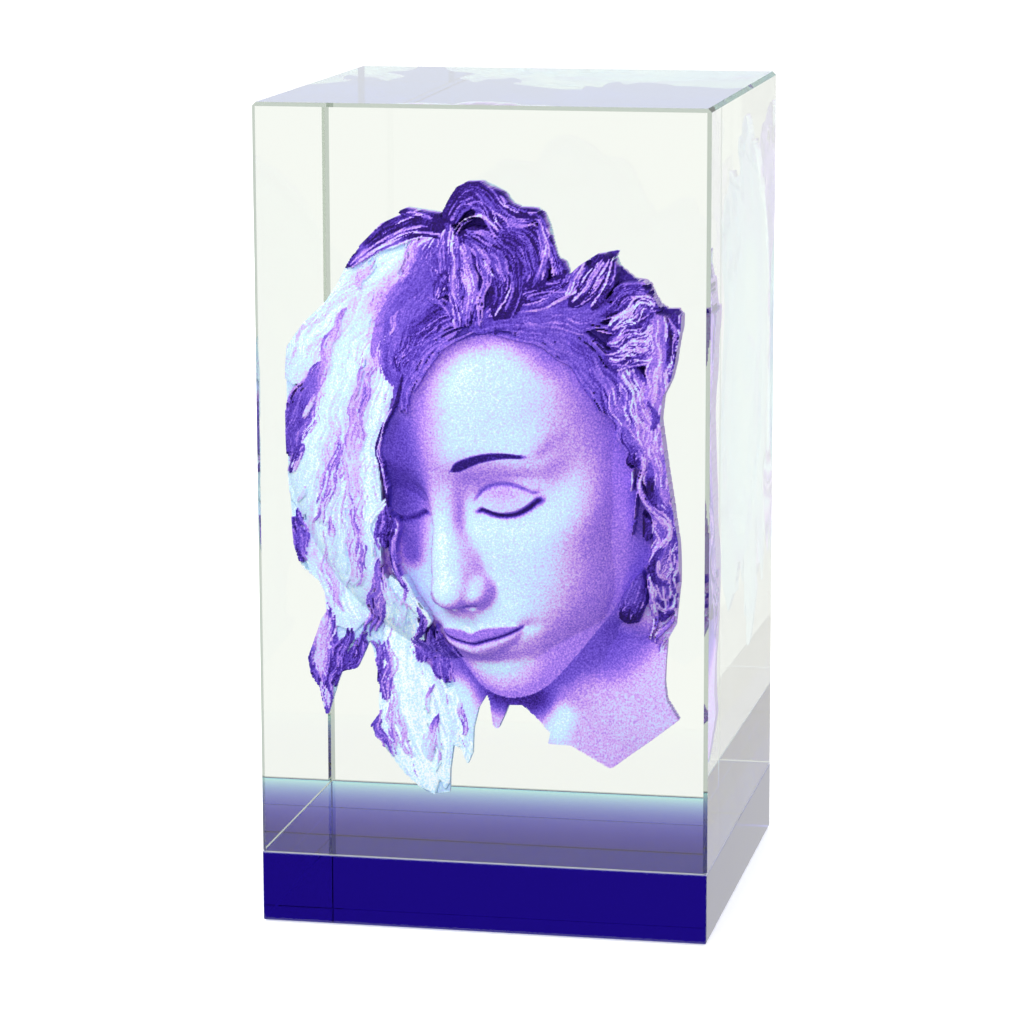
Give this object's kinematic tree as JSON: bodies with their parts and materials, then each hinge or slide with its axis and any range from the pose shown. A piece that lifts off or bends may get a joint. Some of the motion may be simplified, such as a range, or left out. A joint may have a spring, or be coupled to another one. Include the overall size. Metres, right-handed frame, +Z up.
{
  "type": "engraved photo crystal",
  "caption": "Clear upright crystal block with a portrait engraved inside it, bonded on a blue glass base plate of the same footprint.",
  "frame": {"origin": "middle of the rest face, under the base plate", "axes": "+Z up, the front face that shows the portrait looks along -Y, +X to the viewer's right"},
  "size_m": [0.06, 0.06, 0.1095],
  "materials": {
    "clear_crystal": "polished clear optical glass with a faint green cast and fine chamfered edges",
    "engraving": "fine stipple of small marks inside the glass, from white and pale cyan through lilac to dark indigo",
    "adhesive": "clear bond that shows as a pale line along the edges",
    "blue_glass": "polished deep blue violet glass"
  },
  "bodies": {
    "root": {"crystal_block": "clear_crystal", "engraved_portrait": "engraving", "bond_layer": "adhesive", "base_plate": "blue_glass"}
  },
  "joints": []
}
